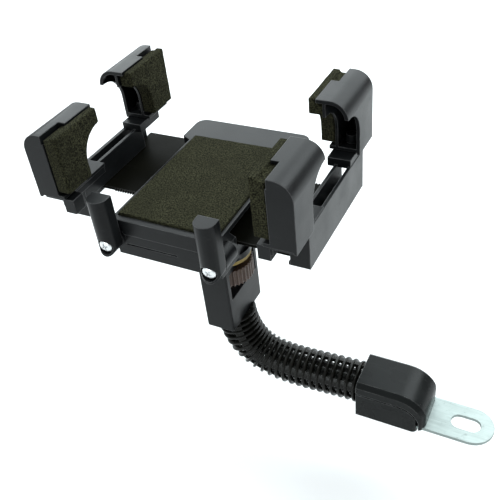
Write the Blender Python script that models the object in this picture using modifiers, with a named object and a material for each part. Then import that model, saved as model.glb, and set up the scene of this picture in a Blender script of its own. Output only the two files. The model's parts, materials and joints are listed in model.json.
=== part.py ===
"""Phone cradle on a flexible neck, with a slotted steel tab that bolts under a mirror stem.

All sizes are in millimetres in the cradle's frame: its origin is the middle of the foam pad's
top face, +X is the way the right arm opens, +Y is the top end of the phone, +Z is away from the
cradle. `at` turns them into world metres, whose origin is the middle of the tab's slot.
"""

from math import cos, pi, radians, sin

import bmesh
import bpy
from mathutils import Matrix, Vector

MM = 0.001
OBJECT = "phone_handlebar_mount"

# Where the middle of the tab's slot lies, on the tab's underside
SLOT = Vector((157.0, -19.5, -116.0))

# Foam pad, cover and case
PAD_W, PAD_L, PAD_T = 60.0, 84.0, 3.0
COVER_TOP, SPLIT, CASE_BOTTOM = -1.5, -11.0, -25.3
BODY_HALF, WALL = 32.0, 2.0
BODY_FRONT, BODY_BACK = -46.0, 62.5
SHOULDER_HALF, SHOULDER_FRONT = 38.0, 38.0
GAP = 0.3

# Arms: two slides that a pinion drives apart
PINION = Vector((0.0, 13.0))
PINION_R, TOOTH_COUNT = 7.0, 14
PITCH = 2 * pi * PINION_R / TOOTH_COUNT
SLIDE_T = 2.0
LEFT_SLIDE_TOP, RIGHT_SLIDE_TOP = -11.5, -14.3
SLIDE_FRONT, SLIDE_BACK = -9.0, 53.0
SLIDE_END, SLIDE_INNER = -71.7, 10.0
RATCHET_PITCH, RATCHET_H = 1.7, 1.2

# Crossbars and claws, for the right-hand side
SEAT_IN, BAR_IN, BAR_OUT, BAR_WALL = 60.5, 64.6, 74.0, 2.0
BAR_FRONT, BAR_BACK = -29.2, 49.0
BAR_BOTTOM, BAR_TOP = -20.0, 4.0
SLIDE_SCREW_X, CLAW_SCREW_X = 69.3, 68.6
CLAW_OUT, CLAW_H, CLAW_WALL, CLAW_ROUND, FLOOR_T = 76.0, 38.0, 2.0, 10.0, 2.0
LIP_IN, WEB_IN, WEB_OUT = 58.6, 62.3, 63.8
CLAW_LENGTH, LIP_STEP = 37.5, 22.0
FOAM_IN, FOAM_OUT, FOAM_UP, FOAM_SHORT = 53.8, 62.0, 4.0, 1.5
BITE_R, BITE_UP = 15.5, 13.0
# Each claw's closed end, its underside's height, its screw, and which way its closed end lies
FRONT_CLAW = (-47.8, 5.2, -37.0, -1)
BACK_CLAW = (58.5, 8.4, 46.0, 1)

# Feet
FOOT_X, FOOT_PIVOT_Z, FOOT_W, FOOT_TOP = 31.3, -13.0, 11.6, 16.0
FOOT_FRONT, FOOT_BACK = -57.6, -48.2
EAR_R, EAR_FRONT, EAR_BACK = 5.9, -47.8, -36.0

# Swivel head
HEAD = Vector((20.0, -19.5))
YOKE_W, YOKE_D, CHEEK = 17.0, 36.0, 3.5
YOKE_TOP, WINDOW_TOP, WINDOW_BOTTOM, YOKE_BOTTOM = -30.6, -34.0, -51.5, -73.0
WHEEL_R, WHEEL_RIBS, WHEEL_BOTTOM = 14.0, 36, -44.5

# Flexible neck: a Bezier curve in the plane y = HEAD.y
NECK = [Vector((20.0, -64.0)), Vector((20.0, -121.0)), Vector((58.7, -105.4)), Vector((98.4, -105.4))]
NECK_R, CORE_R, BORE_R, BALL_R, JOINT_GAP = 12.0, 2.8, 5.4, 8.0, 3.4
NECK_PARTS = 5

# End housing and tab
HOUSE_X0, HOUSE_X1, HOUSE_HALF = 98.7, 137.8, 13.5
HOUSE_TOP, HOUSE_SPLIT, CAP_BOTTOM, HOUSE_BOTTOM = -93.0, -101.2, -115.6, -118.0
HOUSE_BEND, BEND_R, SEAM = (122.5, -112.2), 11.0, 0.8
TAB_W, TAB_T, TAB_ROOT, TAB_END = 23.5, 2.0, 114.0, 172.0
SLOT_W, SLOT_L = 9.0, 16.0

BLACK = ("black_abs", (0.018, 0.019, 0.020), 0.38, 0.0)
INNER = ("black_nylon", (0.012, 0.012, 0.013), 0.5, 0.0)
FOAM = ("foam", (0.045, 0.042, 0.030), 0.95, 0.0)
SLEEVE = ("sleeve_vinyl", (0.015, 0.015, 0.015), 0.45, 0.0)
STEEL = ("plated_steel", (0.72, 0.75, 0.76), 0.28, 1.0)
BRASS_FIBRE = ("fibre_washer", (0.20, 0.12, 0.05), 0.7, 0.0)


def at(x, y, z):
    """World position, in metres, of a point of the cradle's frame."""
    return (Vector((x, y, z)) - SLOT) * MM


def clear_scene():
    for obj in list(bpy.data.objects):
        bpy.data.objects.remove(obj, do_unlink=True)
    for group in list(bpy.data.collections):
        bpy.data.collections.remove(group)


def new_collection(name):
    group = bpy.data.collections.new(name)
    bpy.context.scene.collection.children.link(group)
    return group


def material(finish):
    name, colour, roughness, metallic = finish
    found = bpy.data.materials.get(name)
    if found:
        return found
    made = bpy.data.materials.new(name)
    made.use_nodes = True
    shader = made.node_tree.nodes["Principled BSDF"]
    shader.inputs["Base Color"].default_value = (*colour, 1.0)
    shader.inputs["Roughness"].default_value = roughness
    shader.inputs["Metallic"].default_value = metallic
    return made


# ---------------------------------------------------------------- solids

def from_bmesh(name, bm):
    mesh = bpy.data.meshes.new(name)
    bm.to_mesh(mesh)
    bm.free()
    obj = bpy.data.objects.new(name, mesh)
    bpy.context.scene.collection.objects.link(obj)
    return obj


def box(name, x, y, z):
    """A block between the given pairs of X, Y and Z."""
    bm = bmesh.new()
    bmesh.ops.create_cube(bm, size=1.0)
    size = Vector((abs(x[1] - x[0]), abs(y[1] - y[0]), abs(z[1] - z[0]))) * MM
    bmesh.ops.scale(bm, vec=size, verts=bm.verts)
    bmesh.ops.translate(bm, vec=at(sum(x) / 2, sum(y) / 2, sum(z) / 2), verts=bm.verts)
    return from_bmesh(name, bm)


AXIS_TURN = {
    "X": Matrix.Rotation(pi / 2, 4, "Y"),
    "Y": Matrix.Rotation(-pi / 2, 4, "X"),
    "Z": Matrix.Identity(4),
}


def rod(name, centre, axis, radius, ends, sides=24):
    """A cylinder along axis between two ends; centre holds its two other coordinates."""
    bm = bmesh.new()
    bmesh.ops.create_cone(bm, cap_ends=True, segments=sides, radius1=radius * MM,
                          radius2=radius * MM, depth=abs(ends[1] - ends[0]) * MM)
    middle = list(centre)
    middle.insert("XYZ".index(axis), sum(ends) / 2)
    bm.transform(Matrix.Translation(at(*middle)) @ AXIS_TURN[axis])
    return from_bmesh(name, bm)


def ball(name, centre, radius):
    bm = bmesh.new()
    bmesh.ops.create_uvsphere(bm, u_segments=16, v_segments=8, radius=radius * MM)
    bmesh.ops.translate(bm, vec=at(*centre), verts=bm.verts)
    return from_bmesh(name, bm)


def as_mesh(obj):
    """The mesh object that a curve object makes, in its place."""
    bpy.context.view_layer.update()
    graph = bpy.context.evaluated_depsgraph_get()
    mesh = bpy.data.meshes.new_from_object(obj.evaluated_get(graph))
    bm = bmesh.new()
    bm.from_mesh(mesh)
    bmesh.ops.remove_doubles(bm, verts=bm.verts, dist=1e-6)
    bmesh.ops.recalc_face_normals(bm, faces=bm.faces)
    bm.transform(obj.matrix_world)
    bm.to_mesh(mesh)
    bm.free()
    name = obj.name
    bpy.data.objects.remove(obj, do_unlink=True)
    made = bpy.data.objects.new(name, mesh)
    bpy.context.scene.collection.objects.link(made)
    return made


PLANES = {  # local x, local y and thickness directions of a flat outline
    "XY": Matrix(((1, 0, 0), (0, 1, 0), (0, 0, 1))).to_4x4(),
    "XZ": Matrix(((1, 0, 0), (0, 0, -1), (0, 1, 0))).to_4x4(),
    "YZ": Matrix(((0, 0, 1), (1, 0, 0), (0, 1, 0))).to_4x4(),
}


def prism(name, plane, outline, ends, holes=()):
    """A flat outline in a plane, made thick between two ends along the plane's normal."""
    curve = bpy.data.curves.new(name, "CURVE")
    curve.dimensions = "2D"
    curve.fill_mode = "BOTH"
    curve.extrude = abs(ends[1] - ends[0]) / 2 * MM
    for loop in (outline, *holes):
        spline = curve.splines.new("POLY")
        spline.points.add(len(loop) - 1)
        for point, (u, v) in zip(spline.points, loop):
            point.co = (u * MM, v * MM, 0.0, 1.0)
        spline.use_cyclic_u = True
    obj = bpy.data.objects.new(name, curve)
    bpy.context.scene.collection.objects.link(obj)
    shift = [0.0, 0.0, 0.0]
    shift[{"XY": 2, "XZ": 1, "YZ": 0}[plane]] = sum(ends) / 2
    obj.matrix_world = Matrix.Translation(at(*shift)) @ PLANES[plane]
    return as_mesh(obj)


def tube(name, points, radius, resolution=2):
    """A round bar along a line of points."""
    curve = bpy.data.curves.new(name, "CURVE")
    curve.dimensions = "3D"
    curve.bevel_depth = radius * MM
    curve.bevel_resolution = resolution
    curve.use_fill_caps = True
    spline = curve.splines.new("POLY")
    spline.points.add(len(points) - 1)
    for point, place in zip(spline.points, points):
        point.co = (*at(*place), 1.0)
    obj = bpy.data.objects.new(name, curve)
    bpy.context.scene.collection.objects.link(obj)
    return as_mesh(obj)


def turned(name, profile, place, turn, steps=20):
    """A solid of revolution: profile is (radius, height) from its top on the axis to its bottom."""
    mesh = bpy.data.meshes.new(name)
    points = [(radius * MM, 0.0, height * MM) for radius, height in profile]
    mesh.from_pydata(points, [(i, i + 1) for i in range(len(points) - 1)], [])
    obj = bpy.data.objects.new(name, mesh)
    bpy.context.scene.collection.objects.link(obj)
    screw = obj.modifiers.new("turn", "SCREW")
    screw.steps = screw.render_steps = steps
    screw.use_merge_vertices = True
    screw.merge_threshold = 1e-6
    obj.matrix_world = Matrix.Translation(at(*place)) @ turn
    return as_mesh(obj)


def arc(centre, radius, start, end, count=6, squash=1.0):
    """Points of an arc, angles in degrees; squash scales its height."""
    steps = [radians(start + (end - start) * i / count) for i in range(count + 1)]
    return [(centre[0] + radius * cos(a), centre[1] + radius * squash * sin(a)) for a in steps]


def mirrored(outline, sign):
    """The outline with its first coordinate mirrored when sign is -1, kept turning the same way."""
    if sign > 0:
        return outline
    return [(-u, v) for u, v in reversed(outline)]


def pair(a, b, sign):
    return (a, b) if sign > 0 else (-b, -a)


def combine(obj, operation, *others):
    """Joins, cuts or intersects obj with each of the others, which become hidden helpers."""
    for other in others:
        step = obj.modifiers.new(operation.lower(), "BOOLEAN")
        step.operation = operation
        step.solver = "EXACT"
        step.object = other
        for group in other.users_collection:
            group.objects.unlink(other)
        CUTTERS.objects.link(other)
        other.hide_render = True
        other.display_type = "WIRE"
    return obj


def join(obj, *others):
    return combine(obj, "UNION", *others)


def cut(obj, *others):
    return combine(obj, "DIFFERENCE", *others)


def round_edges(obj, width, keep, segments=2):
    """Bevels the edges of a plain solid for which keep(start, end) is true, in cradle millimetres."""
    bm = bmesh.new()
    bm.from_mesh(obj.data)
    bmesh.ops.dissolve_limit(bm, angle_limit=0.01, verts=bm.verts, edges=bm.edges)
    edges = [e for e in bm.edges if keep(*(v.co / MM + SLOT for v in e.verts))]
    bmesh.ops.bevel(bm, geom=edges, offset=width * MM, segments=segments, profile=0.5,
                    affect="EDGES", clamp_overlap=True)
    bm.to_mesh(obj.data)
    bm.free()
    return obj


def add_part(obj, name, finish, origin=None):
    """Names a finished part, gives it its material and puts its origin on its joint's axis."""
    obj.name = name
    obj.data.name = name
    if origin is not None:
        place = at(*origin)
        obj.data.transform(Matrix.Translation(-place))
        obj.location = place
    obj.data.materials.clear()
    obj.data.materials.append(material(finish))
    obj.data.shade_smooth()
    obj.data.set_sharp_from_angle(angle=radians(35))
    for group in obj.users_collection:
        group.objects.unlink(obj)
    PARTS.objects.link(obj)
    return obj


UP, DOWN = Matrix.Identity(4), Matrix.Rotation(pi, 4, "X")
TO_FRONT = Matrix.Rotation(pi / 2, 4, "X")


def screw(name, place, turn, head_r, head_h, shank_r, shank_l, origin=None, sides=16):
    """A pan-head screw: place is the underside of its head, and turn points its head outwards."""
    profile = [(0, head_h), (head_r * 0.72, head_h), (head_r, head_h * 0.45), (head_r, 0),
               (shank_r, 0), (shank_r, -shank_l + 0.6), (shank_r * 0.5, -shank_l), (0, -shank_l)]
    return add_part(turned(name, profile, place, turn, sides), name, STEEL, origin)


# ---------------------------------------------------------------- cradle body

def body_outline(half, front, back, shoulder, corner):
    """The plan of the cover, with its wider shoulders at the back."""
    right = [(half, front), (half, SHOULDER_FRONT), (shoulder, SHOULDER_FRONT + 3)]
    right += arc((shoulder - corner, back - corner), corner, 0, 90, 4)
    return right + [(-x, y) for x, y in reversed(right)]


SCREW_SPOTS = [(-20, -40), (20, -40), (-26, 57), (26, 57)]


def top_cover():
    outline = body_outline(BODY_HALF, BODY_FRONT, BODY_BACK + 0.5, SHOULDER_HALF, 6)
    cover = prism("cover", "XY", outline, (SPLIT + 0.2, COVER_TOP))
    inside = BODY_HALF - WALL - 0.2
    cut(cover,
        box("cover_hollow", (-inside, inside), (BODY_FRONT + 2.2, BODY_BACK - 1.7), (SPLIT - 1, -6)),
        box("foam_recess", (-PAD_W / 2 - GAP, PAD_W / 2 + GAP), (-PAD_L / 2 - GAP, PAD_L / 2 + GAP),
            (-PAD_T - GAP, 0)))
    for sign, front in ((1, -27.0), (-1, -10.4)):
        relief = [(front, SPLIT - 1), (front - 6, -4.3), (36, -4.3), (36, SPLIT - 1)]
        cut(cover, prism("side_relief", "YZ", relief, pair(inside - 0.1, BODY_HALF + 8, sign)))
        cut(cover, rod("ear_room", (sign * FOOT_X, FOOT_PIVOT_Z), "Y", EAR_R + GAP, (-48, EAR_BACK + GAP)))
    for x, y in SCREW_SPOTS:
        join(cover, rod("boss", (x, y), "Z", 3.0, (SPLIT + 0.2, -5.5), 16))
        cut(cover, rod("pilot", (x, y), "Z", 1.6, (SPLIT - 1, -6.5), 12))
    add_part(cover, "top_cover", BLACK)


def lower_case():
    top = SPLIT - 0.1
    case = box("case", (-BODY_HALF, BODY_HALF), (BODY_FRONT + 0.7, BODY_BACK), (CASE_BOTTOM, top))
    inside = BODY_HALF - WALL
    cut(case,
        box("case_hollow", (-inside, inside), (BODY_FRONT + 2.7, BODY_BACK - 2), (CASE_BOTTOM + 2, 0)),
        box("left_gate", (-40, -inside + 1), (SLIDE_FRONT - 1.6, SLIDE_BACK + 0.4), (-14.0, 0)),
        box("right_gate", (inside - 1, 40), (26 - SLIDE_BACK - 0.4, 26 - SLIDE_FRONT + 1.6), (-16.8, 0)),
        box("button_gate", (-4.6, 4.6), (BODY_BACK - 4, BODY_BACK + 4), (-20.6, -16.6)),
        box("front_slot", (-26, 6), (-50, BODY_FRONT + 1.6), (-18.2, -17.4)))
    join(case, rod("swivel_seat", HEAD, "Z", 14.0, (-27.9, CASE_BOTTOM + 1), 32),
         rod("axle_boss", PINION, "Z", 3.4, (CASE_BOTTOM + 1, -20.5), 16),
         box("spring_post", (-3, 3), (-8, -6), (CASE_BOTTOM + 1, -17)))
    for sign in (1, -1):
        join(case, rod("ear", (sign * FOOT_X, FOOT_PIVOT_Z), "Y", EAR_R, (EAR_FRONT, EAR_BACK), 28))
        cut(case, rod("ear_hole", (sign * FOOT_X, FOOT_PIVOT_Z), "Y", 1.8, (-49, -38.5), 12))
    for x, y in SCREW_SPOTS:
        join(case, rod("boss", (x, y), "Z", 3.0, (CASE_BOTTOM + 1, top), 16))
        cut(case, rod("hole", (x, y), "Z", 1.6, (-30, 0), 12),
            rod("counterbore", (x, y), "Z", 3.1, (-30, -23.6), 16))
    cut(case, rod("stud_hole", HEAD, "Z", 3.4, (-30, -20), 20),
        rod("axle_hole", PINION, "Z", 1.8, (-24.3, -18), 12))
    add_part(case, "lower_case", BLACK)
    for number, (x, y) in enumerate(SCREW_SPOTS, 1):
        screw(f"case_screw_{number}", (x, y, -23.8), DOWN, 2.7, 1.3, 1.3, 16.0, sides=12)


def pad_foam():
    pad = box("pad", (-PAD_W / 2, PAD_W / 2), (-PAD_L / 2, PAD_L / 2), (-PAD_T, 0))
    add_part(pad, "pad_foam", FOAM)


# ---------------------------------------------------------------- arm drive

def rack_teeth(first, last, root, height, pitch, tip):
    """Points of a toothed edge from first to last; tip is each tooth's width at its top."""
    points = []
    count = int(abs(last - first) / pitch)
    way = 1 if last > first else -1
    for i in range(count):
        start = first + way * pitch * i
        flank = pitch * 0.22
        points += [(start, root), (start + way * flank, root + height),
                   (start + way * (flank + tip), root + height), (start + way * (2 * flank + tip), root)]
    return points


def slide_outline():
    """The left slide's plan: a fork with a ratchet on its front edge and a rack on its back arm."""
    rack_y = PINION.y + PINION_R + 1.1
    phase = PINION.x + PITCH / 2 - 0.25 - PITCH * 0.22
    outline = [(SLIDE_END, SLIDE_FRONT)]
    outline += rack_teeth(-57.0, -21.0, SLIDE_FRONT, -RATCHET_H, RATCHET_PITCH, 0.2)
    outline += [(SLIDE_INNER, SLIDE_FRONT), (SLIDE_INNER, 4.6), (-27, 4.6)]
    outline += [(-27, rack_y)]
    outline += rack_teeth(phase - 8 * PITCH, phase + 3 * PITCH, rack_y, -1.9, PITCH, 0.5)
    outline += [(SLIDE_INNER, rack_y), (SLIDE_INNER, SLIDE_BACK), (SLIDE_END, SLIDE_BACK)]
    return outline


def slides():
    outline = slide_outline()
    for side, sign, top in (("left", -1, LEFT_SLIDE_TOP), ("right", 1, RIGHT_SLIDE_TOP)):
        turned_about = outline if sign < 0 else [(-x, 2 * PINION.y - y) for x, y in outline]
        holes = [arc((sign * SLIDE_SCREW_X, y), 1.6, 0, 330, 11) for y in (6, 20)]
        slide = prism("slide", "XY", turned_about, (top - SLIDE_T, top), holes)
        add_part(slide, f"{side}_slide", INNER)
        for number, y in enumerate((6, 20), 1):
            place = (sign * SLIDE_SCREW_X, y, top + 2.5)
            screw(f"{side}_slide_screw_{number}", place, UP, 2.3, 1.4, 1.2, 8.6, sides=12)


def wheel_outline(centre, tip_r, root_r, count, width, phase=0.0):
    """A toothed wheel's outline; width is the part of the pitch that each tooth's tip takes."""
    points = []
    step = 2 * pi / count
    for i in range(count):
        middle = phase + i * step
        for angle, radius in ((-0.27, root_r), (-width / 2, tip_r), (width / 2, tip_r), (0.27, root_r)):
            a = middle + angle * step
            points.append((centre[0] + radius * cos(a), centre[1] + radius * sin(a)))
    return points


def pinion():
    teeth = wheel_outline(PINION, PINION_R + 0.8, PINION_R - 1.2, TOOTH_COUNT, 0.2, pi / 2)
    gear = prism("gear", "XY", teeth, (-16.4, -11.4))
    join(gear, rod("hub", PINION, "Z", 4.0, (-17.6, -16), 20),
         prism("ratchet", "XY", wheel_outline(PINION, 6.0, 5.2, 18, 0.1), (-20.2, -17.2)))
    cut(gear, rod("bore", PINION, "Z", 1.9, (-22, -10), 16))
    add_part(gear, "pinion", INNER, (*PINION, -14))
    screw("pinion_axle", (*PINION, -11.1), UP, 3.4, 1.4, 1.5, 12.4)


def opening_spring():
    """Coil around the axle's boss that pushes the arms open."""
    turns, sides, coil_r = 1.75, 12, 5.0
    count = int(turns * sides)
    points = []
    for i in range(count + 1):
        a = 2 * pi * i / sides
        points.append((PINION.x + coil_r * cos(a), PINION.y + coil_r * sin(a), -22.4 + 1.2 * i / count))
    add_part(tube("spring", points, 0.4, 1), "opening_spring", STEEL)


def release_slider():
    """Push button at the back whose pawl holds the pinion's ratchet from the front side."""
    frame = [(-9, 2), (9, 2), (9, 25.2), (3.8, 25.2), (3.8, 63.6), (-3.8, 63.6), (-3.8, 25.2), (-9, 25.2)]
    window = [(-6.8, 22), (6.8, 22), (6.8, 6.2), (1.2, 6.2), (0, 6.7), (-1.2, 6.2), (-6.8, 6.2)]
    bar = prism("release", "XY", frame, (-20.0, -17.4), [window])
    join(bar, box("thumb_pad", (-7, 7), (BODY_BACK + 3.2, BODY_BACK + 5.6), (-21, -16.4)),
         box("thumb_neck", (-3, 3), (60, BODY_BACK + 4), (-19.6, -17.8)))
    add_part(bar, "release_button", INNER, (0, BODY_BACK, -18.7))
    coil = [(1.2 * cos(pi * i / 3), -5.3 + 4.2 * i / 24, -18.7 + 1.2 * sin(pi * i / 3)) for i in range(25)]
    add_part(tube("spring", coil, 0.3, 1), "release_spring", STEEL)


# ---------------------------------------------------------------- crossbars and claws

def crossbar(side, sign, slide_top):
    """An outer wall with an open trough inside it, clamped round the slide's end, and a seat per claw."""
    below, above, length = slide_top - SLIDE_T - GAP, slide_top + GAP, (BAR_FRONT, BAR_BACK)
    bar = box("wall", pair(BAR_OUT - BAR_WALL, BAR_OUT, sign), length, (BAR_BOTTOM, BAR_TOP))
    join(bar,
         box("ledge", pair(67.5, BAR_OUT - 1, sign), (-8, BAR_BACK - 1), (below - 2, below)),
         box("front_lip", pair(62, BAR_OUT - 1, sign), (BAR_FRONT + 0.1, -23), (BAR_BOTTOM, BAR_BOTTOM + 2)),
         box("front_plate", pair(63, BAR_OUT - 1, sign), (BAR_FRONT, BAR_FRONT + 1.8), (BAR_BOTTOM, 3.2)),
         box("trough", pair(BAR_IN + 0.5, BAR_OUT - 1, sign), (-25.5, 35), (above, above + 2)),
         box("rail", pair(BAR_IN, BAR_IN + 1.8, sign), (-26, 36), (above + 0.2, BAR_TOP + 0.3)),
         box("front_end", pair(BAR_IN + 0.3, BAR_OUT - 1, sign), (-25.8, -24), (above + 0.7, 3.5)))
    for closed, base, screw_y, way in (FRONT_CLAW, BACK_CLAW):
        reach = (-46, -9) if way < 0 else (30, 50.5)
        join(bar, box("seat", pair(SEAT_IN, BAR_OUT - 0.3, sign), reach, (BAR_TOP - 1.2, base - 0.4)))
        cut(bar, rod("hole", (sign * CLAW_SCREW_X, screw_y), "Z", 1.6, (0, 12), 12),
            rod("screw_room", (sign * CLAW_SCREW_X, screw_y), "Z", 2.9, (-6, base - 2.6), 12))
    join(bar, box("seat_rib", pair(60.8, 62.5, sign), (-45.7, -9.4), (-1, BAR_TOP)),
         box("front_stub", pair(54.6, 61.5, sign), (-46.4, -38), (-4.3, 4.5)))
    for y in (6, 20):
        cut(bar, rod("hole", (sign * SLIDE_SCREW_X, y), "Z", 1.5, (-30, slide_top + 4), 12))
    add_part(bar, f"{side}_crossbar", BLACK)


def claw_outline(inset, low, top):
    """The claw's section from its lip round the outer corner and down; inset shrinks it."""
    out, bend = CLAW_OUT - inset, CLAW_ROUND - inset
    centre = (CLAW_OUT - CLAW_ROUND, top - CLAW_ROUND)
    lip = LIP_IN if inset == 0 else WEB_OUT
    return [(lip, low), *reversed([(lip, top - inset), *arc(centre, bend, 90, 0, 8), (out, low)])]


def bite(sign, base, open_end, way):
    """The quarter-round cut that frees the phone's side keys; way is from the open to the closed end."""
    edge, height = open_end + way * FOAM_SHORT, base + BITE_UP
    outline = [(edge - way * 8, base - 12), (edge + way * BITE_R, base - 12)]
    outline += [(edge + way * u, v) for u, v in arc((0, height), BITE_R, 0, 90, 9)]
    outline += [(edge - way * 8, height + BITE_R)]
    return prism("bite", "YZ", outline, pair(50, 80, sign))


def claw(name, sign, closed_end, base, screw_y, way):
    """A hollow shell, open toward its neighbour, with a foam block glued against its inner web."""
    open_end = closed_end - way * CLAW_LENGTH
    top, floor_top = base + CLAW_H, base + FLOOR_T
    through = (open_end - way, closed_end + way)
    shell = prism("shell", "XZ", mirrored(claw_outline(0, base, top), sign), (open_end, closed_end))
    skirt_x = pair(BAR_OUT + GAP, CLAW_OUT, sign)
    join(shell, box("skirt", skirt_x, (open_end, closed_end), (base - 1.2, floor_top)))
    cut(shell,
        prism("cavity", "XZ", mirrored(claw_outline(CLAW_WALL, floor_top, top), sign),
              (open_end - way, closed_end - way * CLAW_WALL)),
        box("foam_room", pair(50, WEB_IN, sign), through, (floor_top, top - CLAW_WALL)),
        box("lip_step", pair(50, WEB_IN + 0.7, sign), (open_end + way * LIP_STEP, closed_end + way),
            (top - 5, top + 5)),
        bite(sign, base, open_end, way))
    spot = (sign * CLAW_SCREW_X, screw_y)
    join(shell, rod("boss", spot, "Z", 3.0, (floor_top - 1, floor_top + 4.8), 16))
    cut(shell, rod("pilot", spot, "Z", 1.6, (0, floor_top + 3.8), 12))
    add_part(shell, f"{name}_claw", BLACK)
    screw(f"{name}_claw_screw", (*spot, base - 2.9), DOWN, 2.4, 1.4, 1.2, 8.0, sides=12)

    low, high, under_lip = base + FOAM_UP, top - 0.7, top - CLAW_WALL - GAP
    section = [(FOAM_IN, low), (FOAM_IN, high), (LIP_IN - GAP, high), (LIP_IN - GAP, under_lip),
               (FOAM_OUT, under_lip), (FOAM_OUT, low)]
    foam_ends = (open_end + way * FOAM_SHORT, closed_end - way * GAP)
    block = prism("foam", "XZ", mirrored(section, sign), foam_ends)
    cut(block, bite(sign, base, open_end + way * 0.01, way))
    add_part(block, f"{name}_foam", FOAM)


def arms():
    for side, sign, top in (("left", -1, LEFT_SLIDE_TOP), ("right", 1, RIGHT_SLIDE_TOP)):
        crossbar(side, sign, top)
        claw(f"{side}_front", sign, *FRONT_CLAW)
        claw(f"{side}_back", sign, *BACK_CLAW)


# ---------------------------------------------------------------- feet

def foot(side, sign):
    """A post with a rounded front and foot end that turns on a screw near its lower end."""
    x, half = sign * FOOT_X, FOOT_W / 2
    post = box("post", (x - half, x + half), (FOOT_FRONT, FOOT_BACK), (FOOT_PIVOT_Z - half, FOOT_TOP))
    round_edges(post, 5.3, lambda a, b: abs(a.z - b.z) > 5 and a.y < FOOT_FRONT + 1, 5)
    ends = [(x + half + 1, FOOT_TOP + 1), (x - half - 1, FOOT_TOP + 1), (x - half - 1, FOOT_PIVOT_Z)]
    ends += arc((x, FOOT_PIVOT_Z), half, 180, 360, 12) + [(x + half + 1, FOOT_PIVOT_Z)]
    combine(post, "INTERSECT", prism("foot_ends", "XZ", ends, (FOOT_FRONT - 1, FOOT_BACK + 1)))
    cut(post, rod("recess", (x, FOOT_PIVOT_Z), "Y", 4.5, (-60, FOOT_FRONT + 3.0), 24),
        rod("hole", (x, FOOT_PIVOT_Z), "Y", 1.9, (-60, -40), 12))
    add_part(post, f"{side}_foot", BLACK, (x, FOOT_BACK, FOOT_PIVOT_Z))
    screw(f"{side}_foot_screw", (x, FOOT_FRONT + 2.9, FOOT_PIVOT_Z), TO_FRONT, 3.9, 2.0, 1.5, 14.0)


# ---------------------------------------------------------------- swivel head

def yoke():
    x = (HEAD.x - YOKE_W / 2, HEAD.x + YOKE_W / 2)
    y = (HEAD.y - YOKE_D / 2, HEAD.y + YOKE_D / 2)
    frame = box("yoke", x, y, (YOKE_BOTTOM, YOKE_TOP))
    round_edges(frame, 1.2, lambda a, b: abs(a.z - b.z) > 5)
    cut(frame,
        box("window", (x[0] - 1, x[1] + 1), (y[0] + CHEEK, y[1] - CHEEK), (WINDOW_BOTTOM, WINDOW_TOP)),
        rod("stud_hole", HEAD, "Z", 3.4, (WINDOW_BOTTOM - 6, -20), 20),
        rod("core_hole", HEAD, "Z", CORE_R + 0.4, (-80, -63.4), 16),
        rod("grub_hole", (HEAD.x, -68), "Y", 2.3, (HEAD.y + CORE_R + 0.5, 10), 16))
    add_part(frame, "yoke", BLACK)
    grub_ends = (HEAD.y + CORE_R + 0.7, y[1] - 0.4)
    add_part(rod("grub", (HEAD.x, -68), "Y", 2.0, grub_ends, 12), "neck_grub_screw", STEEL)


def swivel():
    wheel = prism("wheel", "XY", wheel_outline(HEAD, WHEEL_R, WHEEL_R - 0.8, WHEEL_RIBS, 0.3),
                  (WHEEL_BOTTOM, WINDOW_TOP - 0.4))
    cut(wheel, rod("thread", HEAD, "Z", 3.4, (-60, -30), 20))
    add_part(wheel, "lock_wheel", BLACK, (*HEAD, WHEEL_BOTTOM))
    washer = rod("washer", HEAD, "Z", 13.6, (-30.3, -28.2), 32)
    cut(washer, rod("washer_hole", HEAD, "Z", 3.5, (-32, -27), 20))
    add_part(washer, "friction_washer", BRASS_FIBRE)
    stud = [(0, 3.2), (5.2, 3.2), (5.2, 0), (3.0, 0), (3.0, -32.6), (2.2, -33.4), (0, -33.4)]
    add_part(turned("stud", stud, (*HEAD, -23.0), UP, 20), "swivel_stud", STEEL)


# ---------------------------------------------------------------- neck

def neck_point(t):
    a, b, c, d = NECK
    u = 1 - t
    p = a * u ** 3 + b * 3 * u * u * t + c * 3 * u * t * t + d * t ** 3
    return Vector((p.x, HEAD.y, p.y))


def neck_line(count=240):
    """Evenly spaced points along the neck, from the yoke's underside to the housing."""
    raw = [neck_point(i / 600) for i in range(601)]
    raw = [p for p in raw if p.z < YOKE_BOTTOM + 1 or p.x > 30]
    lengths = [0.0]
    for a, b in zip(raw, raw[1:]):
        lengths.append(lengths[-1] + (b - a).length)
    line, place = [], 0
    for i in range(count + 1):
        want = lengths[-1] * i / count
        while place < len(raw) - 2 and lengths[place + 1] < want:
            place += 1
        part = (want - lengths[place]) / (lengths[place + 1] - lengths[place])
        line.append(raw[place].lerp(raw[place + 1], part))
    return line, lengths[-1]


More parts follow.
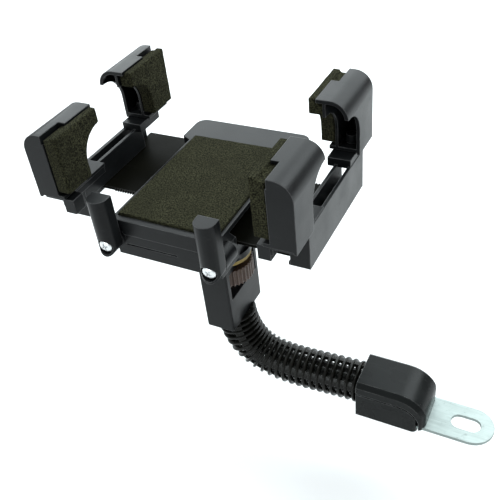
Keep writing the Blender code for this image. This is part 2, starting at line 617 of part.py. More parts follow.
def neck():
    """The sleeve and the core inside it, each cut into rigid lengths that meet at ball joints.

    Length 1 is held by the housing, and the last one by the yoke.
    """
    line, length = neck_line()
    line.reverse()
    per_mm = (len(line) - 1) / length
    trim = round(JOINT_GAP * per_mm)
    cuts = [round((len(line) - 1) * i / NECK_PARTS) for i in range(NECK_PARTS + 1)]
    for i in range(NECK_PARTS):
        first = cuts[i] + (trim if i else 0)
        last = cuts[i + 1] - (trim if i < NECK_PARTS - 1 else 0)
        run = [line[round(first + (last - first) * k / 5)] for k in range(6)]
        joint = line[cuts[i]]
        sleeve = tube("sleeve", run, NECK_R, 3)
        if i < NECK_PARTS - 1:
            join(sleeve, ball("ball", line[cuts[i + 1]], BALL_R))
        if i > 0:
            cut(sleeve, ball("socket", joint, BALL_R + 0.6))
        bore = [line[max(0, min(len(line) - 1, round(cuts[i] - 8 + (cuts[i + 1] - cuts[i] + 16) * k / 6)))]
                for k in range(7)]
        bore[0] = bore[0] + (bore[0] - bore[1]).normalized() * 6
        bore[-1] = bore[-1] + (bore[-1] - bore[-2]).normalized() * 6
        cut(sleeve, tube("bore", bore, BORE_R, 2))
        if i == NECK_PARTS - 1:
            cut(sleeve, box("yoke_room", (0, 40), (-40, 0), (YOKE_BOTTOM - GAP, -60)))
        add_part(sleeve, f"neck_sleeve_{i + 1}", SLEEVE, joint)

        core_run = list(run)
        if i == 0:
            core_run.insert(0, Vector((121.0, HEAD.y, NECK[3].y)))
        if i == NECK_PARTS - 1:
            core_run.append(Vector((HEAD.x, HEAD.y, -64.0)))
        add_part(tube("core", core_run, CORE_R, 1), f"neck_core_{i + 1}", STEEL, joint)


# ---------------------------------------------------------------- end housing and tab

def end_corners(end, radius):
    """Cutters that round a housing half's two upright corners at its far end."""
    cutters = []
    for side in (-1, 1):
        edge = HEAD.y + side * HOUSE_HALF
        centre = (end - radius, edge - side * radius)
        outline = [(end + 1, edge + side), (centre[0], edge + side)]
        outline += arc(centre, radius, side * 90, 0, 5) + [(end + 1, centre[1])]
        cutters.append(prism("end_corner", "XY", outline, (HOUSE_BOTTOM - 5, HOUSE_TOP + 5)))
    return cutters


def housing():
    y = (HEAD.y - HOUSE_HALF, HEAD.y + HOUSE_HALF)
    lower_end = HOUSE_BEND[0] + BEND_R
    lower = [(HOUSE_X0, HOUSE_BOTTOM), (HOUSE_X0, HOUSE_SPLIT), *arc(HOUSE_BEND, BEND_R, 90, 0, 7),
             (lower_end, HOUSE_BOTTOM)]
    shell = cut(prism("lower", "XZ", lower, y), *end_corners(lower_end, 3.0))
    tab_z = (SLOT.z, SLOT.z + TAB_T)
    tab_y = (HEAD.y - TAB_W / 2 - GAP, HEAD.y + TAB_W / 2 + GAP)
    screw_y = [HEAD.y + s * 9.5 for s in (-1, 1)]
    cut(shell, rod("core_bore", (HEAD.y, NECK[3].y), "X", CORE_R + 0.4, (90, 122), 16),
        box("tab_room", (TAB_ROOT - 1, 140), tab_y, (tab_z[0] - GAP, tab_z[1] + GAP)))
    for place in screw_y:
        cut(shell, rod("hole", (106, place), "Z", 1.6, (-125, -90), 12),
            rod("counterbore", (106, place), "Z", 3.1, (-125, -116.2), 16))
    for place in (-6.5, 6.5):
        cut(shell, rod("hole", (121, HEAD.y + place), "Z", 1.6, (-125, -109), 12),
            rod("counterbore", (121, HEAD.y + place), "Z", 3.1, (-125, -115), 12))
    add_part(shell, "housing_lower", BLACK)

    inner = [(HOUSE_X0, HOUSE_SPLIT + SEAM), *arc(HOUSE_BEND, BEND_R + SEAM, 90, 0, 7)]
    outer_face = [(HOUSE_X1, CAP_BOTTOM), *arc((HOUSE_X1 - 16, HOUSE_TOP - 14), 16, 0, 90, 8, 14 / 16)]
    cap = inner + [(lower_end + SEAM, CAP_BOTTOM)] + outer_face + [(HOUSE_X0, HOUSE_TOP)]
    upper = prism("upper", "XZ", cap, y)

    def outer(p):
        off = Vector((p.x - HOUSE_BEND[0], p.z - HOUSE_BEND[1]))
        return p.z > HOUSE_SPLIT + 2 or (off.length > BEND_R + 2 and p.x > HOUSE_BEND[0])

    round_edges(upper, 2.6, lambda a, b: abs(a.y - b.y) < 0.1 and outer(a) and outer(b), 1)
    cut(upper, *end_corners(HOUSE_X1, 5.0), box("tab_slot", (125, 145), tab_y, (-125, tab_z[1] + GAP)))
    for place in screw_y:
        cut(upper, rod("pilot", (106, place), "Z", 1.6, (-125, -96), 12))
    add_part(upper, "housing_upper", BLACK)
    for number, place in enumerate(screw_y, 1):
        screw(f"housing_screw_{number}", (106, place, -116.4), DOWN, 2.7, 1.3, 1.3, 19.5, sides=12)
    for number, place in enumerate((-6.5, 6.5), 1):
        screw(f"tab_screw_{number}", (121, HEAD.y + place, -116.3), DOWN, 2.5, 1.2, 1.3, 6.2, sides=12)


def tab():
    half = TAB_W / 2
    round_end = arc((TAB_END - half, HEAD.y), half, -90, 90, 14)
    outline = [(TAB_ROOT, HEAD.y - half), *round_end, (TAB_ROOT, HEAD.y + half)]
    reach = (SLOT_L - SLOT_W) / 2
    slot = arc((SLOT.x + reach, SLOT.y), SLOT_W / 2, -90, 90, 8)
    slot += arc((SLOT.x - reach, SLOT.y), SLOT_W / 2, 90, 270, 8)
    plate = prism("tab", "XY", outline, (SLOT.z, SLOT.z + TAB_T), holes=[slot])
    for place in (-6.5, 6.5):
        cut(plate, rod("hole", (121, HEAD.y + place), "Z", 1.6, (-125, -110), 12))
    add_part(plate, "slotted_tab", STEEL)


clear_scene()
PARTS = new_collection(OBJECT)
CUTTERS = new_collection("cutters")

pad_foam()
top_cover()
lower_case()
slides()
pinion()
opening_spring()
release_slider()
arms()
foot("left", -1)
foot("right", 1)
yoke()
swivel()
neck()
housing()
tab()
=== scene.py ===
"""Looks of the phone mount: finishes, foam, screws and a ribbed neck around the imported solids.

Lengths are in millimetres in the cradle's frame, whose origin is the middle of the foam pad's
top face; `at` turns them into world metres. Noise scales are per metre.
"""

import json
from math import cos, pi, radians, sin

import bmesh
import bpy
from mathutils import Matrix, Vector, noise
import numpy as np

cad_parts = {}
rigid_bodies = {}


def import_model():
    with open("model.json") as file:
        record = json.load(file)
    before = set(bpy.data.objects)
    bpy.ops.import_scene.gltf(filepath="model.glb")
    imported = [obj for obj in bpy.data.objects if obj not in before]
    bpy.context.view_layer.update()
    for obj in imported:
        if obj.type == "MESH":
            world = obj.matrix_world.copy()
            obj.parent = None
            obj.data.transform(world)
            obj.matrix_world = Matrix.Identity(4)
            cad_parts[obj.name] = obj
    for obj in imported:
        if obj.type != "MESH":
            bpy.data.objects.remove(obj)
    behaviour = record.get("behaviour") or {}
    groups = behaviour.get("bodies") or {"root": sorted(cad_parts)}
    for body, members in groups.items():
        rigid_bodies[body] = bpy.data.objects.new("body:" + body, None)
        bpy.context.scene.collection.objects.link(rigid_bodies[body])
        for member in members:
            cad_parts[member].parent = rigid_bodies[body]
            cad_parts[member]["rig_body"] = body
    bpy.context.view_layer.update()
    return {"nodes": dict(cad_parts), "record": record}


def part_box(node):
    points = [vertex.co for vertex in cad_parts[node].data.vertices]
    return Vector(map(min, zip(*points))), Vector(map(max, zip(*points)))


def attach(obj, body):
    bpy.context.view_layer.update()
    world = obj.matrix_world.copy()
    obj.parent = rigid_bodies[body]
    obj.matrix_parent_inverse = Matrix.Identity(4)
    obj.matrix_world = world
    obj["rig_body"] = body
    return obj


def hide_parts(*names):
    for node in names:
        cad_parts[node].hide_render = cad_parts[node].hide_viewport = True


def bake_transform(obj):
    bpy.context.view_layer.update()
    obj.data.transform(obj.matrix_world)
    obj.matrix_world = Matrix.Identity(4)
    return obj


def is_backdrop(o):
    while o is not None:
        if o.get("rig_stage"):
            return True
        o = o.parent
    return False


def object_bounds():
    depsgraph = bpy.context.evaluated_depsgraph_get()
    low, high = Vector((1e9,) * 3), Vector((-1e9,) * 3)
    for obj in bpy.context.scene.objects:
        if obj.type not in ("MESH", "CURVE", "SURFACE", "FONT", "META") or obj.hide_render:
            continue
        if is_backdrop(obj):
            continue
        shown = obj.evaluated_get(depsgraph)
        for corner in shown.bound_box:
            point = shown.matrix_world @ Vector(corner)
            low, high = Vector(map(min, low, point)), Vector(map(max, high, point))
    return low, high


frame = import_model()

MM = 0.001
PAD_LOW, PAD_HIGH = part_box("pad_foam")
CRADLE = Vector(((PAD_LOW.x + PAD_HIGH.x) / 2, (PAD_LOW.y + PAD_HIGH.y) / 2, PAD_HIGH.z))

# Neck: the Bezier curve that the solids follow, in the plane y = NECK_Y
NECK_Y = -19.5
NECK_BEZIER = [Vector(p) for p in ((20.0, -64.0), (20.0, -121.0), (58.7, -105.4), (98.4, -105.4))]
YOKE_BOTTOM = -73.0
RING_COUNT, RING_SIDES = 23, 48
RING_R, RING_FOOT_R, RING_HALF, RING_ROUND = 12.0, 8.6, 0.95, 0.9
WEB_COUNT, WEB_FIRST, WEB_WIDE = 4, 25.0, 24.0
WEB_IN, WEB_OUT, WEB_GAP = 8.8, 11.0, 0.02
CONDUIT_R, CONDUIT_PITCH, CONDUIT_GROOVE, CONDUIT_SIDES = 2.8, 1.7, 0.3, 18
# How far the conduit reaches past the sleeve, into the housing and into the yoke
INTO_HOUSING, INTO_YOKE = 12, 6

SIDES, ENDS = ("left", "right"), ("front", "back")
UP, DOWN, FRONT = (0, 0, 1), (0, 0, -1), (0, -1, 0)
# Camera: where it is, how it looks (degrees) and its lens (mm)
CAMERA_AT = (183.3, -271.5, 210.5)
AZIMUTH, ELEVATION, ROLL = 30.908, 38.85, -7.188
LENS, SHIFT_X = 50.58, 0.0076
LAMP_TINT = (0.90, 0.98, 1.0)
SKY_COLOUR, SKY_STRENGTH = (0.97, 0.99, 1.0, 1.0), 0.55
FLOOR_DROP = 45.0
# Edges that turn by more than this many degrees stay sharp
SHARP_ANGLE = 35

# Each kind of screw: its nodes, the way its head faces, head height and shank radius
SCREW_KINDS = [
    ([f"case_screw_{i}" for i in (1, 2, 3, 4)], DOWN, 1.3, 1.3),
    ([f"housing_screw_{i}" for i in (1, 2)], DOWN, 1.3, 1.3),
    ([f"tab_screw_{i}" for i in (1, 2)], DOWN, 1.2, 1.3),
    ([f"{side}_{end}_claw_screw" for side in SIDES for end in ENDS], DOWN, 1.4, 1.2),
    ([f"{side}_slide_screw_{i}" for side in SIDES for i in (1, 2)], UP, 1.4, 1.2),
    ([f"{side}_foot_screw" for side in SIDES], FRONT, 2.0, 1.5),
    (["pinion_axle"], UP, 1.4, 1.5),
]
# Threads: half the pitch, the root as a share of the shank, and what stays plain
THREAD_STEP, THREAD_ROOT, PLAIN_TOP, PLAIN_ENDS = 0.5, 0.82, 0.4, 1.2


def at(x, y, z):
    """World position, in metres, of a point of the cradle's frame."""
    return CRADLE + Vector((x, y, z)) * MM


# ---------------------------------------------------------------- shader building

def add_node(tree, kind, inputs=None, **settings):
    """A new node with its settings; an input is given a value or another node's output."""
    made = tree.nodes.new(kind)
    for key, value in settings.items():
        setattr(made, key, value)
    for key, value in (inputs or {}).items():
        if isinstance(value, bpy.types.NodeSocket):
            tree.links.new(value, made.inputs[key])
        else:
            made.inputs[key].default_value = value
    return made


def new_material(name, roughness, metallic=0.0, specular=0.5, **more):
    """A new material with its node tree and shader; `more` names other sockets' values."""
    made = bpy.data.materials.new(name)
    made.use_nodes = True
    shader = made.node_tree.nodes["Principled BSDF"]
    shader.inputs["Roughness"].default_value = roughness
    shader.inputs["Metallic"].default_value = metallic
    shader.inputs["Specular IOR Level"].default_value = specular
    for key, value in more.items():
        shader.inputs[key.replace("_", " ")].default_value = value
    return made, made.node_tree, shader


def coords(tree, stretch=(1, 1, 1)):
    """Object coordinates, scaled along each axis."""
    place = add_node(tree, "ShaderNodeTexCoord").outputs["Object"]
    return add_node(tree, "ShaderNodeMapping", {"Vector": place, "Scale": stretch}).outputs[0]


def cloud(tree, place, scale, detail=2.0, rough=0.5):
    inputs = {"Vector": place, "Scale": scale, "Detail": detail, "Roughness": rough}
    return add_node(tree, "ShaderNodeTexNoise", inputs).outputs[0]


def remap(tree, value, low, high, to_low=0.0, to_high=1.0):
    inputs = {"Value": value, "From Min": low, "From Max": high, "To Min": to_low, "To Max": to_high}
    return add_node(tree, "ShaderNodeMapRange", inputs).outputs[0]


def calc(tree, operation, a, b=0.0):
    return add_node(tree, "ShaderNodeMath", {0: a, 1: b}, operation=operation).outputs[0]


def blend_colour(tree, factor, a, b):
    inputs = {0: factor}
    for key, colour in ((6, a), (7, b)):
        inputs[key] = colour if isinstance(colour, bpy.types.NodeSocket) else (*colour, 1.0)
    return add_node(tree, "ShaderNodeMix", inputs, data_type="RGBA").outputs[2]


def bump(tree, height, depth, strength=1.0, normal=None):
    """A bump whose height runs from 0 to depth millimetres."""
    inputs = {"Height": height, "Distance": depth * MM, "Strength": strength}
    if normal is not None:
        inputs["Normal"] = normal
    return add_node(tree, "ShaderNodeBump", inputs).outputs[0]


def soft_edges(tree, radius):
    """A normal that rounds edges over radius millimetres, and a mask that is 1 on them."""
    rounded = add_node(tree, "ShaderNodeBevel", {"Radius": radius * MM}, samples=6).outputs[0]
    flat = add_node(tree, "ShaderNodeNewGeometry").outputs["Normal"]
    match = add_node(tree, "ShaderNodeVectorMath", {0: rounded, 1: flat}, operation="DOT_PRODUCT")
    return rounded, remap(tree, match.outputs["Value"], 0.997, 0.90)


def tint(colour, factor, lift=0.0):
    """A colour made darker or brighter by factor, then lifted."""
    return tuple(min(1.0, c * factor + lift) for c in colour)


def plastic(name, colour, roughness, grain=0.02, wear_and_highlight=0.5, specular=0.4, scuff_way=(60, 500, 500)):
    """Moulded plastic: fine grain, patchy gloss, scuffs, edges lightened as rubbed wear and as a painted
    highlight, and painted shade in creases through a lower specular level.
    """
    made, tree, shader = new_material(name, roughness, specular=specular)
    place = coords(tree)
    patches = cloud(tree, place, 55, 4)
    fine = cloud(tree, place, 2400, 2)
    scuffs = remap(tree, cloud(tree, coords(tree, scuff_way), 1.0, 5, 0.6), 0.60, 0.72)
    rounded, edges = soft_edges(tree, 0.6)
    # Painted shade: ambient occlusion lowers the specular level in creases so they look darker, and keeps
    # the edge lift off creased edges.
    sky = add_node(tree, "ShaderNodeAmbientOcclusion", {"Distance": 2 * MM}, samples=8).outputs["AO"]
    out_of_crease_shade = remap(tree, sky, 0.3, 0.8)
    edges = calc(tree, "MULTIPLY", edges, out_of_crease_shade)
    tree.links.new(calc(tree, "MULTIPLY", out_of_crease_shade, specular), shader.inputs["Specular IOR Level"])
    # Painted edge highlight: every edge is lightened at least this much; the noise on top makes part of
    # it patchy, as rubbed wear.
    rub_and_highlight_patches = remap(tree, cloud(tree, place, 160, 3), 0.36, 0.66, 0.4, 0.4 + wear_and_highlight)
    rub_and_edge_highlight = calc(tree, "MULTIPLY", edges, rub_and_highlight_patches)
    body = blend_colour(tree, remap(tree, patches, 0.3, 0.7), tint(colour, 0.8), tint(colour, 1.3))
    body = blend_colour(tree, calc(tree, "MULTIPLY", scuffs, 0.25), body, tint(colour, 2.0, 0.02))
    # Edges much lighter than the body: painted highlight and rubbed wear.
    body = blend_colour(tree, rub_and_edge_highlight, body, tint(colour, 3.0, 0.12))
    tree.links.new(body, shader.inputs["Base Color"])
    gloss = remap(tree, patches, 0.25, 0.75, roughness - 0.06, roughness + 0.08)
    gloss = calc(tree, "ADD", gloss, calc(tree, "MULTIPLY", scuffs, 0.12))
    gloss = calc(tree, "ADD", gloss, calc(tree, "MULTIPLY", rub_and_edge_highlight, 0.1))
    tree.links.new(gloss, shader.inputs["Roughness"])
    relief = calc(tree, "ADD", fine, calc(tree, "MULTIPLY", scuffs, -0.5))
    tree.links.new(bump(tree, relief, grain, normal=rounded), shader.inputs["Normal"])
    return made


def foam(name, colour):
    """Fine-celled foam: small pits, dusty speckles and a broad unevenness in colour."""
    made, tree, shader = new_material(name, 0.95, specular=0.02, Sheen_Weight=0.01, Sheen_Roughness=0.6)
    place = coords(tree)
    cells = add_node(tree, "ShaderNodeTexVoronoi", {"Vector": place, "Scale": 1500.0}).outputs["Distance"]
    specks = cloud(tree, place, 1250, 4, 0.8)
    broad = cloud(tree, place, 60, 3)
    body = blend_colour(tree, remap(tree, specks, 0.45, 0.56), tint(colour, 0.1), tint(colour, 3.0))
    body = blend_colour(tree, remap(tree, broad, 0.3, 0.7, 0, 0.5), body, tint(colour, 0.7))
    tree.links.new(body, shader.inputs["Base Color"])
    tree.links.new(remap(tree, specks, 0.3, 0.7, 0.88, 1.0), shader.inputs["Roughness"])
    pits = calc(tree, "ADD", remap(tree, cells, 0.0, 0.6), calc(tree, "MULTIPLY", specks, 0.8))
    tree.links.new(bump(tree, pits, 0.25, 0.8), shader.inputs["Normal"])
    return made


def metal(name, colour, roughness, brushed=(1500, 60, 1500), spots=0.2):
    """Plated steel: brushed streaks under the plating, faint clouding and a few dull spots."""
    made, tree, shader = new_material(name, roughness, metallic=1.0)
    place = coords(tree)
    streaks = cloud(tree, coords(tree, brushed), 1.0, 3, 0.6)
    clouds = cloud(tree, place, 120, 4)
    dull = remap(tree, cloud(tree, place, 380, 3), 0.62, 0.72, 0, spots)
    body = blend_colour(tree, remap(tree, clouds, 0.3, 0.7), tint(colour, 0.88), colour)
    body = blend_colour(tree, dull, body, tint(colour, 0.55))
    tree.links.new(body, shader.inputs["Base Color"])
    gloss = remap(tree, streaks, 0.3, 0.7, roughness - 0.07, roughness + 0.09)
    tree.links.new(calc(tree, "ADD", gloss, dull), shader.inputs["Roughness"])
    rounded, _ = soft_edges(tree, 0.3)
    tree.links.new(bump(tree, streaks, 0.006, normal=rounded), shader.inputs["Normal"])
    return made


def fibre(name, colour):
    """Pressed fibre washer: matted strands and darker, oily patches."""
    made, tree, shader = new_material(name, 0.7, specular=0.3)
    strands = cloud(tree, coords(tree, (900, 250, 2600)), 1.0, 4, 0.7)
    patches = cloud(tree, coords(tree), 200, 3)
    body = blend_colour(tree, remap(tree, strands, 0.35, 0.65), tint(colour, 0.6), tint(colour, 1.3))
    body = blend_colour(tree, remap(tree, patches, 0.5, 0.7, 0, 0.5), body, tint(colour, 0.4))
    tree.links.new(body, shader.inputs["Base Color"])
    tree.links.new(remap(tree, patches, 0.3, 0.7, 0.6, 0.8), shader.inputs["Roughness"])
    tree.links.new(bump(tree, strands, 0.05), shader.inputs["Normal"])
    return made


def pale(name, value):
    """The floor's even, faintly mottled paper."""
    made, tree, shader = new_material(name, 0.9, specular=0.1)
    mottle = cloud(tree, coords(tree), 12, 2)
    body = blend_colour(tree, mottle, (value,) * 3, (value * 0.985,) * 3)
    tree.links.new(body, shader.inputs["Base Color"])
    return made


# Each finish's edge setting scales how far its edges are lightened, partly as rubbed wear and partly as a
# painted highlight.
BLACK_ABS = plastic("black_abs_satin", (0.0055, 0.006, 0.0065), 0.33, specular=0.14)
HOUSING_ABS = plastic("black_abs_gloss", (0.007, 0.008, 0.008), 0.27, grain=0.008, wear_and_highlight=0.9, specular=0.1)
NYLON = plastic("black_nylon", (0.003, 0.003, 0.002), 0.4, wear_and_highlight=0.3, specular=0.02,
                scuff_way=(30, 900, 900))
WHEEL = plastic("knurled_wheel_brown", (0.060, 0.036, 0.026), 0.32, grain=0.01, wear_and_highlight=0.8)
VINYL = plastic("sleeve_vinyl_ribbed", (0.004, 0.004, 0.003), 0.23, grain=0.01, wear_and_highlight=0.0, specular=0.15)
FOAM = foam("foam_fine_cell", (0.016, 0.016, 0.009))
STEEL = metal("steel_zinc_plated", (0.80, 0.82, 0.83), 0.26)
TAB_STEEL = metal("steel_tab_brushed", (0.30, 0.345, 0.335), 0.55, brushed=(60, 1800, 1800), spots=0.12)
# Near-black, darkened to paint the shade seen through the sleeve's windows.
CONDUIT = metal("steel_conduit", (0.035, 0.036, 0.034), 0.34, spots=0.4)
FIBRE = fibre("fibre_washer_brown", (0.26, 0.19, 0.06))
FINISHES = {
    "black_abs": BLACK_ABS, "black_nylon": NYLON, "foam": FOAM,
    "sleeve_vinyl": VINYL, "plated_steel": STEEL, "fibre_washer": FIBRE,
}


# ---------------------------------------------------------------- pieces

def new_piece(name, mesh, finish, body, slot, *replaced):
    """Links a mesh as a piece with its finish, riding on a body and standing for CAD nodes."""
    obj = bpy.data.objects.new(name, mesh)
    bpy.context.scene.collection.objects.link(obj)
    mesh.materials.clear()
    mesh.materials.append(finish)
    if body:
        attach(obj, body)
    if replaced:
        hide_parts(*replaced)
    return obj


def mesh_of(bm, name, smooth_angle=SHARP_ANGLE):
    """A mesh from a bmesh, smooth except over edges sharper than smooth_angle degrees."""
    bmesh.ops.recalc_face_normals(bm, faces=bm.faces)
    mesh = bpy.data.meshes.new(name)
    bm.to_mesh(mesh)
    bm.free()
    mesh.shade_smooth()
    mesh.set_sharp_from_angle(angle=radians(smooth_angle))
    return mesh


def evaluated(obj, name):
    """The mesh that an object's modifiers make; the object itself is removed."""
    bpy.context.view_layer.update()
    graph = bpy.context.evaluated_depsgraph_get()
    mesh = bpy.data.meshes.new_from_object(obj.evaluated_get(graph))
    mesh.name = name
    bpy.data.objects.remove(obj, do_unlink=True)
    return mesh


def scratch(name, mesh):
    """An object that holds a mesh in the scene."""
    obj = bpy.data.objects.new(name, mesh)
    bpy.context.scene.collection.objects.link(obj)
    return obj


def refine(obj, width):
    """Modifiers that weld a CAD node's facets, merge its flat faces and round its edges."""
    obj.data.shade_smooth()
    weld = obj.modifiers.new("weld", "WELD")
    weld.merge_threshold = 1e-6
    flat = obj.modifiers.new("flat", "DECIMATE")
    flat.decimate_type = "DISSOLVE"
    flat.angle_limit = radians(0.6)
    edge = obj.modifiers.new("edge", "BEVEL")
    edge.width = width * MM
    edge.segments = 2
    edge.limit_method = "ANGLE"
    edge.angle_limit = radians(34)
    even = obj.modifiers.new("even", "WEIGHTED_NORMAL")
    even.keep_sharp = True


EDGE_WIDTHS = {"claw": 0.5, "crossbar": 0.35, "foot": 0.6, "yoke": 0.5, "cover": 0.5, "case": 0.4,
               "housing": 0.5, "slide": 0.15, "wheel": 0.2, "tab": 0.25, "button": 0.3}


def finish_nodes():
    """Gives every CAD node its finish, and most of them rounded edges."""
    slots = {row["node"]: row["material_slot"] for row in frame["record"]["subparts"]}
    special = {"housing_upper": HOUSING_ABS, "housing_lower": HOUSING_ABS, "lock_wheel": WHEEL,
               "slotted_tab": TAB_STEEL}
    for name, obj in frame["nodes"].items():
        obj.data.materials.clear()
        obj.data.materials.append(special.get(name, FINISHES[slots[name]]))
        width = next((w for word, w in EDGE_WIDTHS.items() if word in name and "screw" not in name), None)
        if width:
            refine(obj, width)


# ---------------------------------------------------------------- foam

def soft_block(node, voxel, rounds, lump):
    """A soft copy of a foam solid: remeshed finely, its corners worn round, its faces uneven."""
    work = scratch("work", frame["nodes"][node].data.copy())
    grid = work.modifiers.new("grid", "REMESH")
    grid.mode = "VOXEL"
    grid.voxel_size = voxel * MM
    soften = work.modifiers.new("soften", "SMOOTH")
    soften.factor, soften.iterations = 0.5, rounds
    mesh = evaluated(work, node + "_soft")
    spots, ways = np.empty((2, len(mesh.vertices), 3), dtype=np.float32)
    mesh.vertices.foreach_get("co", spots.ravel())
    mesh.vertices.foreach_get("normal", ways.ravel())
    rises = [noise.noise(p * 170) * 0.7 + noise.noise(p * 700) * 0.3 for p in map(Vector, spots)]
    spots += ways * (np.array(rises, dtype=np.float32) - 0.4)[:, None] * lump * MM
    mesh.vertices.foreach_set("co", spots.ravel())
    mesh.shade_smooth()
    body = frame["nodes"][node]["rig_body"]
    new_piece(node.replace("foam", "cushion"), mesh, FOAM, body, "foam", node)


def foams():
    """The pad and the four claws' cushions."""
    soft_block("pad_foam", voxel=0.6, rounds=4, lump=0.16)
    for side in SIDES:
        for end in ENDS:
            soft_block(f"{side}_{end}_foam", voxel=0.55, rounds=9, lump=0.2)


# ---------------------------------------------------------------- screws

def sweep(bm, sections):
    """Joins loops of points, in metres, into a closed bar with capped ends."""
    loops = [[bm.verts.new(p) for p in section] for section in sections]
    for a, b in zip(loops, loops[1:]):
        for i in range(len(a)):
            j = (i + 1) % len(a)
            bm.faces.new((a[i], a[j], b[j], b[i]))
    bm.faces.new(list(reversed(loops[0])))
    bm.faces.new(loops[-1])


def turned(profile, steps):
    """A solid of revolution about Z; profile is (radius, height) in millimetres, top to bottom."""
    bm = bmesh.new()
    turns = [2 * pi * i / steps for i in range(steps)]
    sweep(bm, [[Vector((r * cos(a), r * sin(a), h)) * MM for a in turns] for r, h in profile])
    return bm


def cross_cutter(arm, width, top, depth):
    """A cross-shaped plug that narrows downwards, like the tip of a driver."""
    half = width / 2
    corner = ((arm, -half), (arm, half), (half, half))
    turns = [Matrix.Rotation(pi / 2 * quarter, 2) for quarter in range(4)]
    outline = [turn @ Vector(p) for turn in turns for p in corner]
    bm = bmesh.new()
    sweep(bm, [[Vector((p.x * share, p.y * share, z)) * MM for p in outline]
               for share, z in ((0.5, top - depth), (1.0, top))])
    return bm


def screw(node, way, head_h, shank_r, spin):
    """A pan-head screw with a cross recess in the place of a plain CAD screw."""
    low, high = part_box(node)
    way = Vector(way)
    axis = max(range(3), key=lambda i: abs(way[i]))
    head_r = (high - low)[(axis + 1) % 3] / 2 / MM
    length = (high - low)[axis] / MM
    tip = (low + high) / 2 + way * length / 2 * MM
    dome = [(head_r * sin(radians(a)), head_h * (0.35 + 0.65 * cos(radians(a)))) for a in range(3, 91, 9)]
    under = [(head_r, 0.12), (head_r - 0.12, 0.0), (shank_r, 0.0)]
    steps = int((length - head_h - PLAIN_ENDS) / THREAD_STEP)
    radii = [shank_r * (1.0 if i % 2 else THREAD_ROOT) for i in range(steps)]
    thread = [(radius, -PLAIN_TOP - THREAD_STEP * i) for i, radius in enumerate(radii)]
    point = [(shank_r * 0.5, head_h - length)]
    body = scratch("screw_body", mesh_of(turned(dome + under + thread + point, 28), "body"))
    plug = cross_cutter(arm=head_r * 0.6, width=head_r * 0.24, top=head_h + 0.3, depth=head_h * 0.75)
    cutter = scratch("screw_cutter", mesh_of(plug, "plug"))
    recess = body.modifiers.new("recess", "BOOLEAN")
    recess.operation, recess.solver, recess.object = "DIFFERENCE", "EXACT", cutter
    mesh = evaluated(body, node + "_cross")
    bpy.data.objects.remove(cutter, do_unlink=True)
    turn = way.to_track_quat("Z", "Y").to_matrix().to_4x4() @ Matrix.Rotation(radians(spin), 4, "Z")
    mesh.transform(Matrix.Translation(tip - way * head_h * MM) @ turn)
    mesh.set_sharp_from_angle(angle=radians(SHARP_ANGLE))
    new_piece(node + "_cross", mesh, STEEL, frame["nodes"][node]["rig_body"], "plated_steel", node)


def screws():
    """The screws and the pinion's axle; in each kind, every next one is turned further."""
    for names, way, head_h, shank_r in SCREW_KINDS:
        for number, name in enumerate(names):
            screw(name, way, head_h, shank_r, 20 + 37 * number)


# ---------------------------------------------------------------- neck

def bezier(t):
    """A point of the neck's curve, at the yoke for t = 0 and at the housing for t = 1."""
    a, b, c, d = NECK_BEZIER
    u = 1 - t
    p = a * u ** 3 + b * 3 * u * u * t + c * 3 * u * t * t + d * t ** 3
    return Vector((p.x, NECK_Y, p.y))


def even_line(count=400, fine=1200):
    """Evenly spaced points along the neck, from the housing to the yoke, and its length."""
    raw = [bezier(1 - i / fine) for i in range(fine + 1)]
    raw = [p for p in raw if p.z < YOKE_BOTTOM + 1 or p.x > 30]
    lengths = [0.0]
    for a, b in zip(raw, raw[1:]):
        lengths.append(lengths[-1] + (b - a).length)
    line, place = [], 0
    for i in range(count + 1):
        want = lengths[-1] * i / count
        while place < len(raw) - 2 and lengths[place + 1] < want:
            place += 1
        share = (want - lengths[place]) / (lengths[place + 1] - lengths[place])
        line.append(raw[place].lerp(raw[place + 1], share))
    return line, lengths[-1]


NECK_LINE, NECK_LENGTH = even_line()


def neck_frame(s):
    """Centre, tangent and the two cross directions, the first toward -Y, s mm from the housing."""
    last = len(NECK_LINE) - 1
    spot = s / NECK_LENGTH * last
    i = max(0, min(last - 1, int(spot)))
    tangent = (NECK_LINE[i + 1] - NECK_LINE[i]).normalized()
    centre = NECK_LINE[i] + tangent * (spot - i) * NECK_LENGTH / last
    side = Vector((0, -1, 0))
    return centre, tangent, side, tangent.cross(side)


def add_ring(bm, s):
    """One rounded rib of the sleeve."""
    centre, tangent, side, up = neck_frame(s)
    turns = [radians(a) for a in range(-90, 91, 30)]
    crown = [(RING_R - RING_ROUND + RING_ROUND * cos(a), RING_HALF * sin(a)) for a in turns]
    profile = [(RING_FOOT_R, -RING_HALF * 1.15), *crown, (RING_FOOT_R, RING_HALF * 1.15)]
    loops = []
    for i in range(RING_SIDES):
        a = 2 * pi * i / RING_SIDES
        out = side * cos(a) + up * sin(a)
        loops.append([bm.verts.new(at(*(centre + out * r + tangent * along))) for r, along in profile])
    for a, b in zip(loops, loops[1:] + loops[:1]):
        for i in range(len(profile)):
            j = (i + 1) % len(profile)
            bm.faces.new((a[i], a[j], b[j], b[i]))


def add_web(bm, angle, start, end):
    """A strip along the sleeve that joins its ribs and leaves windows on both sides."""
    sections = []
    steps = max(2, round(end - start))
    inner = [(WEB_IN, radians(angle + WEB_WIDE * share)) for share in (-0.5, 0, 0.5)]
    outer = [(WEB_OUT, radians(angle + WEB_WIDE * share)) for share in (0.5, 0, -0.5)]
    for i in range(steps + 1):
        centre, _, side, up = neck_frame(start + (end - start) * i / steps)
        sections.append([at(*(centre + (side * cos(a) + up * sin(a)) * r)) for r, a in inner + outer])
    sweep(bm, sections)


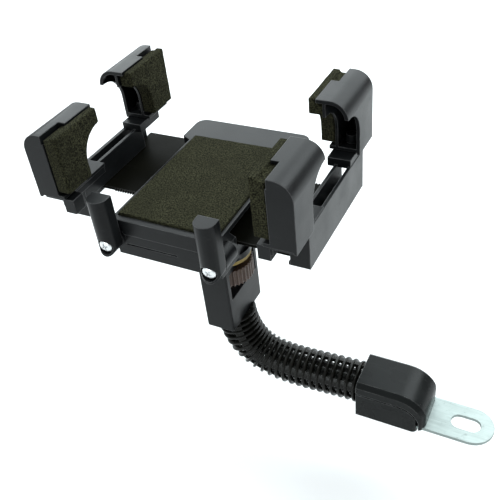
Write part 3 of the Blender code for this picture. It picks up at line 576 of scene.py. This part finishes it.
def add_conduit(bm, start, end):
    """The wound steel conduit in the middle of the sleeve."""
    sections = []
    steps = round((end - start) / (CONDUIT_PITCH / 5))
    for i in range(steps + 1):
        s = start + (end - start) * i / steps
        centre, _, side, up = neck_frame(s)
        radius = CONDUIT_R - CONDUIT_GROOVE * (0.5 + 0.5 * cos(2 * pi * s / CONDUIT_PITCH)) ** 3
        turns = [2 * pi * k / CONDUIT_SIDES for k in range(CONDUIT_SIDES)]
        sections.append([at(*(centre + (side * cos(a) + up * sin(a)) * radius)) for a in turns])
    sweep(bm, sections)


NECK_BODIES = ["base", "neck_2", "neck_3", "neck_4", "head"]


def neck():
    """Four runs of sleeve and conduit, each spanning one of the neck's four joints; the runs ride on no
    body.
    """
    pitch = NECK_LENGTH / RING_COUNT
    part = NECK_LENGTH / len(NECK_BODIES)
    splits = [0, *(part * share for share in (1.5, 2.5, 3.5)), NECK_LENGTH]
    for i, (start, end) in enumerate(zip(splits, splits[1:])):
        sleeve = bmesh.new()
        for k in range(RING_COUNT):
            if start <= (k + 0.5) * pitch < end:
                add_ring(sleeve, (k + 0.5) * pitch)
        for k in range(WEB_COUNT):
            add_web(sleeve, WEB_FIRST + 360 * k / WEB_COUNT, start + WEB_GAP, end - WEB_GAP)
        conduit = bmesh.new()
        first, last = i == 0, i == len(NECK_BODIES) - 2
        add_conduit(conduit, start - INTO_HOUSING * first, end + INTO_YOKE * last)
        stands_for = [i + 1] + [i + 2] * last
        kinds = (("sleeve", sleeve, VINYL, "sleeve_vinyl"), ("core", conduit, CONDUIT, "plated_steel"))
        for kind, bm, finish, slot in kinds:
            replaced = [f"neck_{kind}_{k}" for k in stands_for]
            mesh = mesh_of(bm, kind, 40)
            piece = new_piece(f"neck_{kind}_run_{i + 1}", mesh, finish, None, slot, *replaced)
            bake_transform(piece)


# ---------------------------------------------------------------- studio

def look_matrix(position, forward, roll):
    """A camera's or lamp's matrix from where it is, where it looks and its roll in radians."""
    forward = forward.normalized()
    right = forward.cross(Vector((0, 0, 1))).normalized()
    up = right.cross(forward)
    right, up = right * cos(roll) + up * sin(roll), up * cos(roll) - right * sin(roll)
    return Matrix.LocRotScale(position, Matrix((right, up, -forward)).transposed(), None)


def camera():
    """The view of the part from its front right and above."""
    data = bpy.data.cameras.new("camera")
    data.lens, data.sensor_width, data.shift_x = LENS, 36.0, SHIFT_X
    data.clip_start, data.clip_end = 0.01, 20.0
    azimuth, elevation = radians(AZIMUTH), radians(ELEVATION)
    level = Vector((-sin(azimuth), cos(azimuth), 0))
    forward = level * cos(elevation) - Vector((0, 0, sin(elevation)))
    obj = bpy.data.objects.new("camera", data)
    bpy.context.scene.collection.objects.link(obj)
    obj.matrix_world = look_matrix(at(*CAMERA_AT), forward, radians(ROLL))
    bpy.context.scene.camera = obj


def lamp(name, toward, distance, wide, high, power, aim=(10, 0, -30)):
    """A soft area lamp that stands in the direction `toward`, metres from its aim."""
    data = bpy.data.lights.new(name, "AREA")
    data.shape, data.size, data.size_y = "RECTANGLE", wide, high
    data.energy, data.color = power, LAMP_TINT
    target = at(*aim)
    toward = Vector(toward).normalized()
    obj = bpy.data.objects.new(name, data)
    bpy.context.scene.collection.objects.link(obj)
    obj.matrix_world = look_matrix(target + toward * distance, -toward, 0.0)


def studio():
    """A pale floor under the part, an even sky and the lamps."""
    low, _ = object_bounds()
    bm = bmesh.new()
    bmesh.ops.create_grid(bm, x_segments=1, y_segments=1, size=6.0)
    bmesh.ops.translate(bm, vec=(0, 0, low.z - FLOOR_DROP * MM), verts=bm.verts)
    floor = scratch("floor", mesh_of(bm, "floor"))
    floor.data.materials.append(pale("floor_paper", 0.82))
    floor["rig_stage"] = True
    world = bpy.data.worlds.new("studio")
    bpy.context.scene.world = world
    world.use_nodes = True
    sky = world.node_tree.nodes["Background"]
    sky.inputs["Color"].default_value = SKY_COLOUR
    sky.inputs["Strength"].default_value = SKY_STRENGTH
    lamp("back_softbox", (-0.17, 0.75, 0.62), 1.5, 2.6, 1.7, 46.0)
    lamp("key_softbox", (-0.40, -0.35, 0.85), 1.0, 0.25, 0.25, 3.6)
    lamp("front_strip", (-0.30, -0.95, 0.06), 1.2, 0.7, 0.22, 2.6)
    lamp("floor_softbox", (0.30, 0.10, 0.90), 0.8, 0.6, 0.6, 6.0, aim=(260, 330, -160))
    bpy.context.scene.view_settings.view_transform = "Standard"


finish_nodes()
foams()
screws()
neck()
studio()
camera()
